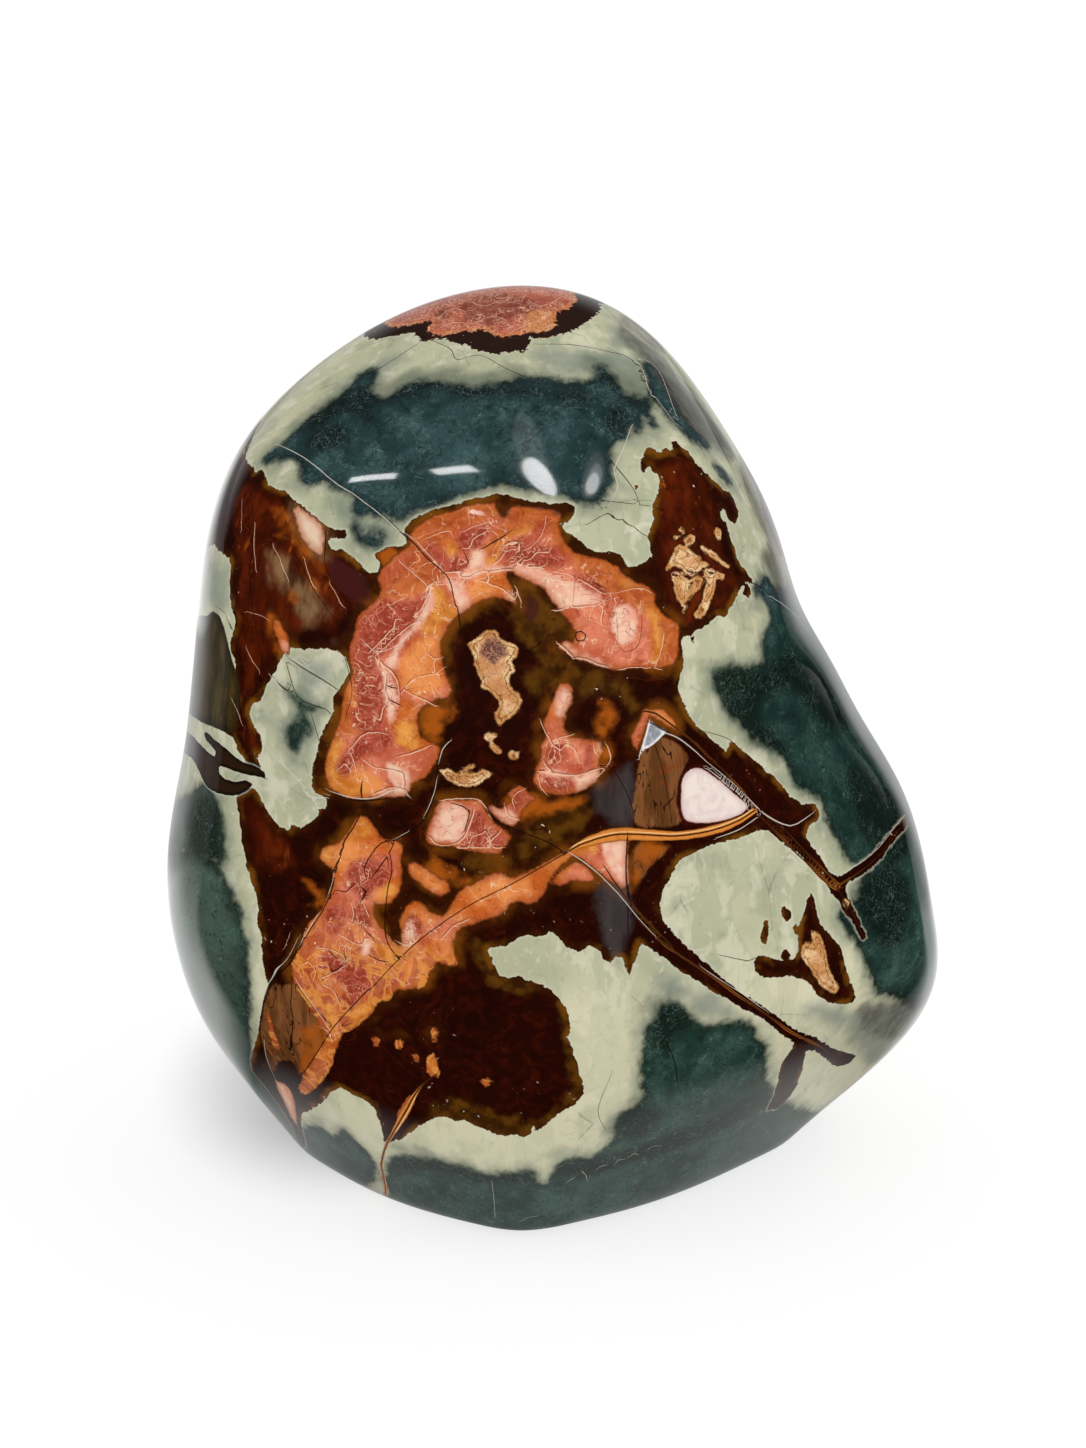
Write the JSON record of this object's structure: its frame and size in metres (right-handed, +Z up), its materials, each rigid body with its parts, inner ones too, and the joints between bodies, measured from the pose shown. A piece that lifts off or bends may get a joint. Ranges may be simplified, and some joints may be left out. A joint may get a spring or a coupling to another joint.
{
  "type": "polished jasper freeform",
  "caption": "Free-standing lump of multicoloured jasper, a plump leaning pebble polished all over, resting on a flat ground under it.",
  "frame": {"origin": "middle of the stone's footprint box, on the surface that the stone stands on", "axes": "+Z up, from the flat foot to the crown; -Y faces the side with the large red figure; +X to that side's right"},
  "size_m": [0.1318, 0.0954, 0.15],
  "materials": {
    "polished_jasper": "polished"
  },
  "bodies": {
    "root": {"polished_stone": "polished_jasper"}
  },
  "joints": []
}
